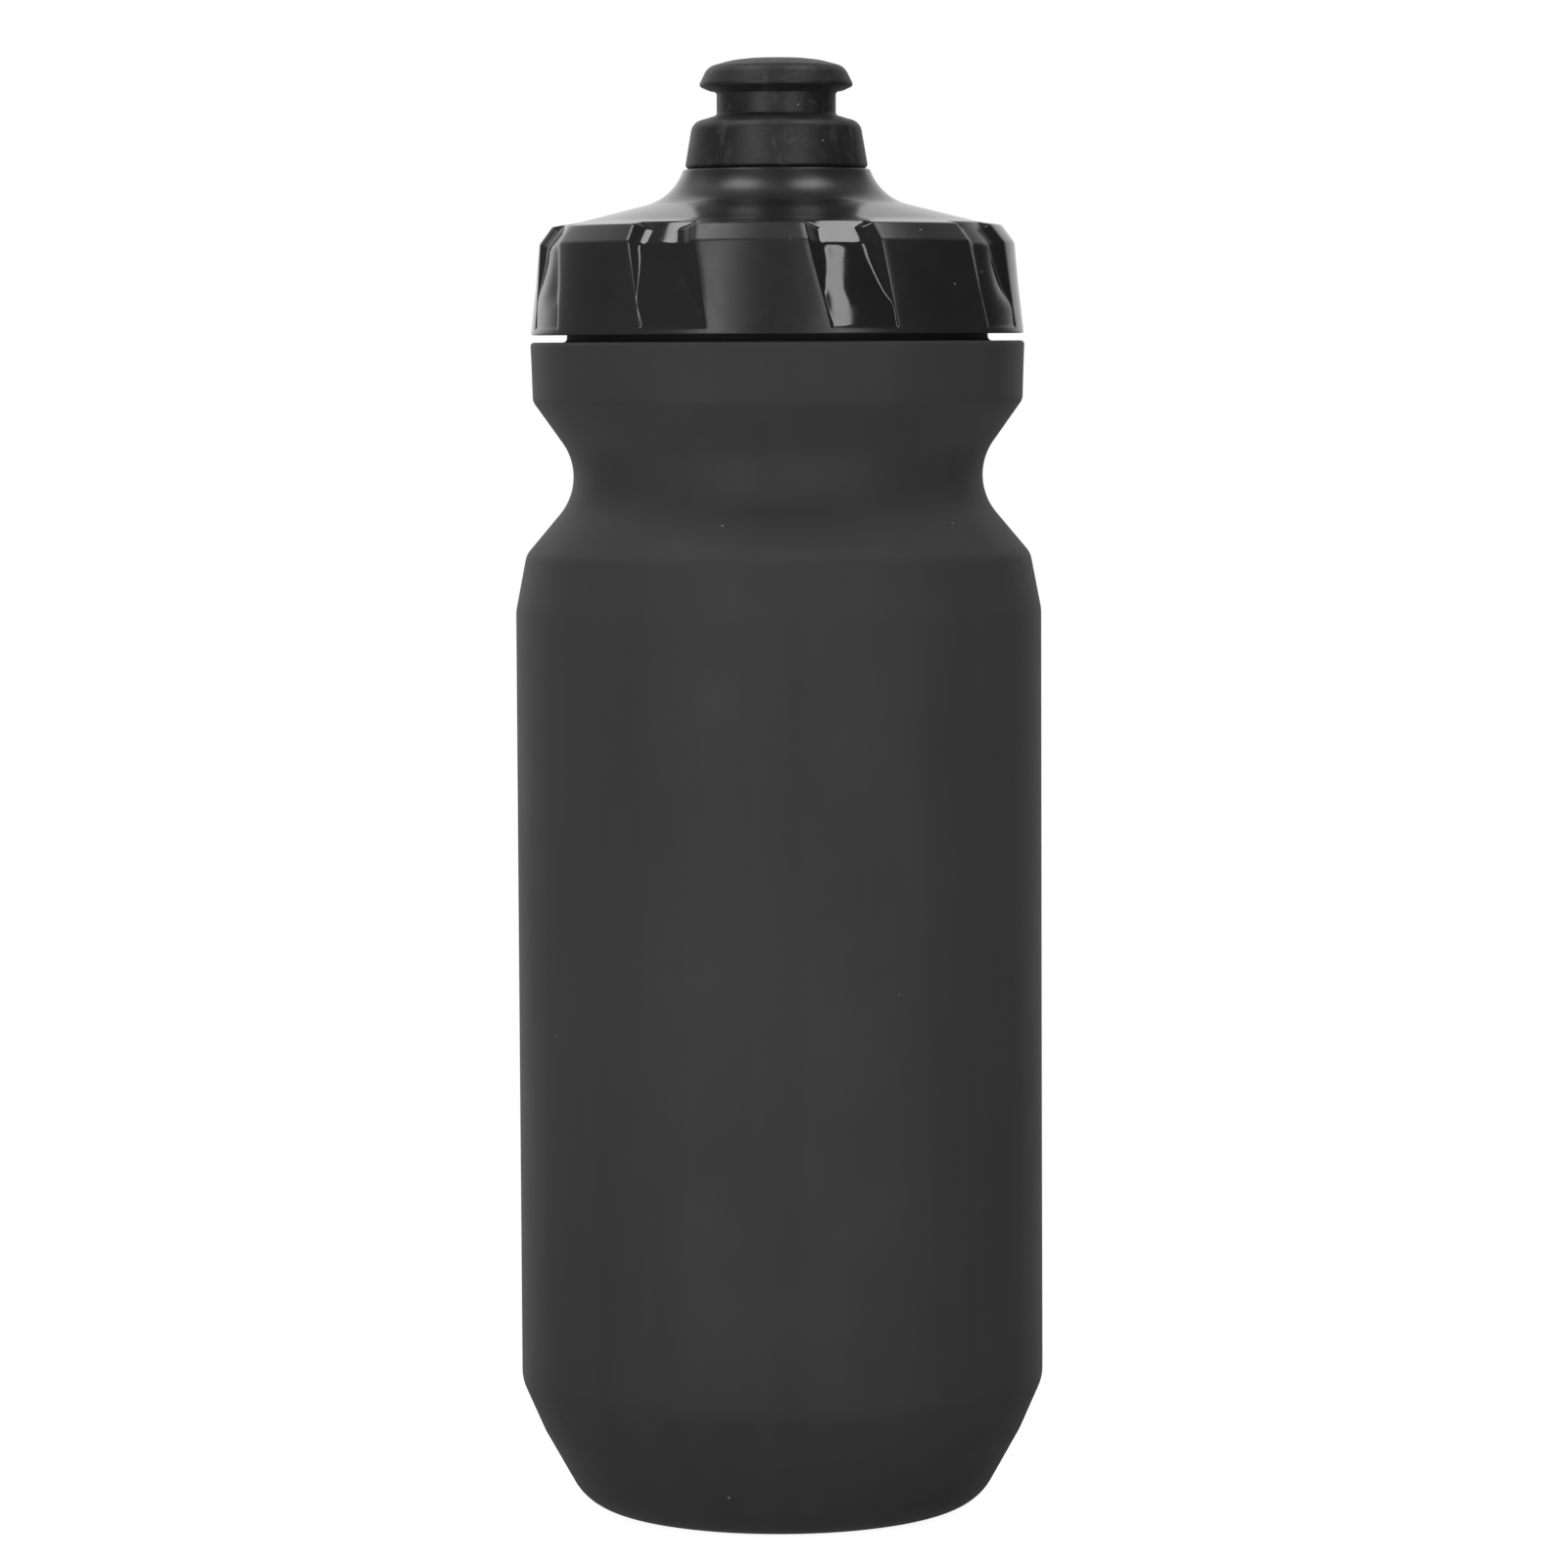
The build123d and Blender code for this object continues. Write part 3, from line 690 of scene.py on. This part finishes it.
def seal_rubber():
    """Smooth black O-ring rubber, slightly greased."""
    p = Paint("seal_rubber")
    grease = p.noise(1.5, detail=3)
    colour = p.mix_colour(p.ramp(grease, 0.3, 0.7), grey(0.010), grey(0.015))
    p.set(Base_Color=colour, Roughness=p.ramp(grease, 0.3, 0.7, 0.22, 0.4), IOR=1.5,
          Normal=p.bump(p.noise(0.25, detail=2), depth=0.006, strength=0.5))
    return p.material


# ---------------------------------------------------------------- stage

# The floor's disc is full up to the first of the two fade radii and clear from the second on
FLOOR_GAP = 0.0002
FLOOR_RADIUS = 0.42
FLOOR_RINGS = 24
FLOOR_COLUMNS = 96
FLOOR_FADE = (0.045, 0.13)

# Softboxes: the strips by name, azimuth in degrees and radiance, the panels by name and x
LID_CENTRE = (0.0, 0.0, 0.173)
STRIP_ELEVATION_DEG = -4
STRIP_DISTANCE = 1.3
STRIP_SIZE = (0.2, 2.5)
STRIPS = (("strip_left", -30, 6.6), ("strip_right", 30, 6.2))
PANEL_Y = -0.1
PANEL_Z = 1.18
PANEL_SIZE = (0.4, 0.4)
PANEL_RADIANCE = 6.5
PANELS = (("panel_left", -0.43), ("panel_right", 0.43))

# Light of the room by direction. Each row is an axis of the direction, two values on it, and
# the levels at those values, with a smooth step between them.
BACKDROP_RAMPS = (
    ("Z", 0.7, 0.92, 1.0, 0.0), ("Z", -0.3, 0.05, 0.15, 1.0), ("Y", 0.5, 0.85, 0.0, 1.0),
    ("X", -0.5, 0.3, 0.95, 0.7), ("X", 0.45, 0.75, 1.0, 0.3),
)
WING_RAMPS = (
    ("Z", 0.35, 0.6, 0.0, 1.0), ("Y", 0.1, 0.45, 0.0, 1.0), ("X", -0.5, 0.5, 0.85, 0.35),
)
WING_SIDE_RANGE = (0.3, 0.6)
ROOM_RAMPS = (("X", -0.6, 0.6, 0.2, 0.07), ("Z", -0.7, -0.2, 0.05, 0.0))


def make_floor():
    """Pale floor disc that fades into the white background. It shades the foot of the bottle
    and doesn't light it."""
    ground = cad_box[0][2] - FLOOR_GAP
    verts = [(0.0, 0.0, ground)]
    for i in range(1, FLOOR_RINGS + 1):
        radius = FLOOR_RADIUS * i / FLOOR_RINGS
        for j in range(FLOOR_COLUMNS):
            angle = 2 * math.pi * j / FLOOR_COLUMNS
            verts.append((radius * math.cos(angle), radius * math.sin(angle), ground))
    after = [(j + 1) % FLOOR_COLUMNS for j in range(FLOOR_COLUMNS)]
    faces = [(0, 1 + j, 1 + after[j]) for j in range(FLOOR_COLUMNS)]
    for i in range(FLOOR_RINGS - 1):
        a, b = 1 + i * FLOOR_COLUMNS, 1 + (i + 1) * FLOOR_COLUMNS
        faces += [(a + j, b + j, b + after[j], a + after[j]) for j in range(FLOOR_COLUMNS)]
    mesh = bpy.data.meshes.new("floor")
    mesh.from_pydata(verts, [], faces)
    floor = bpy.data.objects.new("floor", mesh)
    bpy.context.scene.collection.objects.link(floor)
    p = Paint("pale_floor")
    length = add_node(p.tree, "ShaderNodeVectorMath", {0: p.place}, operation='LENGTH')
    fade = p.ramp(length.outputs["Value"], *FLOOR_FADE)
    grain = p.noise(1.5, detail=3)
    p.set(Base_Color=p.mix_colour(grain, grey(0.86), grey(0.9)), Roughness=0.8,
          Emission_Color=grey(1.0), Emission_Strength=0.9)
    clear = add_node(p.tree, "ShaderNodeBsdfTransparent")
    blend = add_node(p.tree, "ShaderNodeMixShader", {
        0: fade, 1: p.shader.outputs[0], 2: clear.outputs[0]})
    out = p.tree.nodes["Material Output"]
    p.tree.links.new(blend.outputs[0], out.inputs["Surface"])
    mesh.materials.append(p.material)
    floor.visible_diffuse = False
    floor.visible_glossy = False


def add_softbox(name, place, target, size, radiance):
    """Rectangular area light that faces a target, with a given brightness of its face."""
    light = bpy.data.lights.new(name, 'AREA')
    light.shape = 'RECTANGLE'
    light.size, light.size_y = size
    light.energy = radiance * math.pi * size[0] * size[1]
    obj = bpy.data.objects.new(name, light)
    bpy.context.scene.collection.objects.link(obj)
    obj.location = place
    obj.rotation_euler = (Vector(target) - Vector(place)).to_track_quat('-Z', 'Y').to_euler()
    obj.visible_camera = False


def around(azimuth_deg, elevation_deg, distance, centre):
    """Point seen from the centre at an azimuth from the front and an elevation."""
    a, e = math.radians(azimuth_deg), math.radians(elevation_deg)
    return (centre[0] + distance * math.cos(e) * math.sin(a),
            centre[1] - distance * math.cos(e) * math.cos(a),
            centre[2] + distance * math.sin(e))


def combined(tree, operation, values):
    """One value from several by the same operation."""
    result = values[0]
    for value in values[1:]:
        result = math_node(tree, operation, result, value)
    return result


def make_lights():
    """Two strip softboxes in front, two panels overhead, and a white backdrop in a dim room."""
    for name, azimuth, radiance in STRIPS:
        place = around(azimuth, STRIP_ELEVATION_DEG, STRIP_DISTANCE, LID_CENTRE)
        add_softbox(name, place, LID_CENTRE, STRIP_SIZE, radiance)
    for name, side in PANELS:
        place, below = (side, PANEL_Y, PANEL_Z), (side, PANEL_Y, 0.0)
        add_softbox(name, place, below, PANEL_SIZE, PANEL_RADIANCE)

    world = bpy.data.worlds.new("studio")
    bpy.context.scene.world = world
    world.use_nodes = True
    tree = world.node_tree
    tree.nodes.clear()
    direction = add_node(tree, "ShaderNodeTexCoord").outputs["Generated"]
    parts = add_node(tree, "ShaderNodeSeparateXYZ", {"Vector": direction}).outputs

    def ramps(rows):
        return [range_node(tree, parts[axis], *numbers) for axis, *numbers in rows]

    backdrop = combined(tree, 'MULTIPLY', ramps(BACKDROP_RAMPS))
    aside = range_node(tree, math_node(tree, 'ABSOLUTE', parts["X"], 0.0), *WING_SIDE_RANGE)
    wings = combined(tree, 'MULTIPLY', [aside] + ramps(WING_RAMPS))
    brightest = math_node(tree, 'MAXIMUM', backdrop, wings)
    level = combined(tree, 'ADD', [brightest] + ramps(ROOM_RAMPS))
    lighting = add_node(tree, "ShaderNodeBackground", {"Color": grey(1.0), "Strength": level})
    shown = add_node(tree, "ShaderNodeBackground", {"Color": grey(1.0), "Strength": 1.0})
    path = add_node(tree, "ShaderNodeLightPath")
    blend = add_node(tree, "ShaderNodeMixShader", {
        0: path.outputs["Is Camera Ray"], 1: lighting.outputs[0], 2: shown.outputs[0]})
    out = add_node(tree, "ShaderNodeOutputWorld")
    tree.links.new(blend.outputs[0], out.inputs["Surface"])
    bpy.context.scene.view_settings.view_transform = 'Standard'


CAMERA_DISTANCE = 0.850
CAMERA_HEIGHT = 0.1642
CAMERA_SIDE = 0.000617
CAMERA_PITCH_DEG = 4.20
CAMERA_ROLL_DEG = 0.284
CAMERA_LENS = 139.48
CAMERA_SENSOR = 36


def make_camera():
    """Long lens in front of the bottle, looking slightly down and rolled a little."""
    pitch, roll = math.radians(CAMERA_PITCH_DEG), math.radians(CAMERA_ROLL_DEG)
    forward = Vector((0, math.cos(pitch), -math.sin(pitch)))
    level_up = Vector((0, math.sin(pitch), math.cos(pitch)))
    level_right = Vector((1, 0, 0))
    up = level_up * math.cos(roll) + level_right * math.sin(roll)
    right = level_right * math.cos(roll) - level_up * math.sin(roll)
    matrix = Matrix((right, up, -forward)).transposed().to_4x4()
    matrix.translation = (CAMERA_SIDE, -CAMERA_DISTANCE, CAMERA_HEIGHT)
    data = bpy.data.cameras.new("camera")
    data.sensor_width = CAMERA_SENSOR
    data.lens = CAMERA_LENS
    camera = bpy.data.objects.new("camera", data)
    camera.matrix_world = matrix
    bpy.context.scene.collection.objects.link(camera)
    bpy.context.scene.camera = camera


# ---------------------------------------------------------------- assembly

materials = {
    "bottle_plastic": bottle_plastic(),
    "lid_plastic": lid_plastic(),
    "inner_plastic": inner_plastic(),
    "nozzle_rubber": nozzle_rubber(),
    "seal_silicone": seal_silicone(),
    "seal_rubber": seal_rubber(),
}


def place_piece(piece, body, node, slot):
    """Piece with its material, riding on a body in the place of a CAD node."""
    piece.data.materials.append(materials[slot])
    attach(piece, body)
    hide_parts(node)


place_piece(make_bottle(), "bottle", "bottle_body", "bottle_plastic")
place_piece(make_lid(), "lid", "lid_shell", "lid_plastic")
place_piece(make_mouthpiece(), "nozzle", "nozzle_mouthpiece", "nozzle_rubber")

for node_name, slot_name in (
        ("valve_post", "inner_plastic"), ("nozzle_core", "inner_plastic"),
        ("stem_o_ring", "seal_rubber"), ("valve_membrane", "seal_silicone"),
        ("lid_gasket", "seal_silicone")):
    cad_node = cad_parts[node_name]
    for cad_slot in cad_node.material_slots:
        cad_slot.material = materials[slot_name]

make_floor()
make_lights()
make_camera()
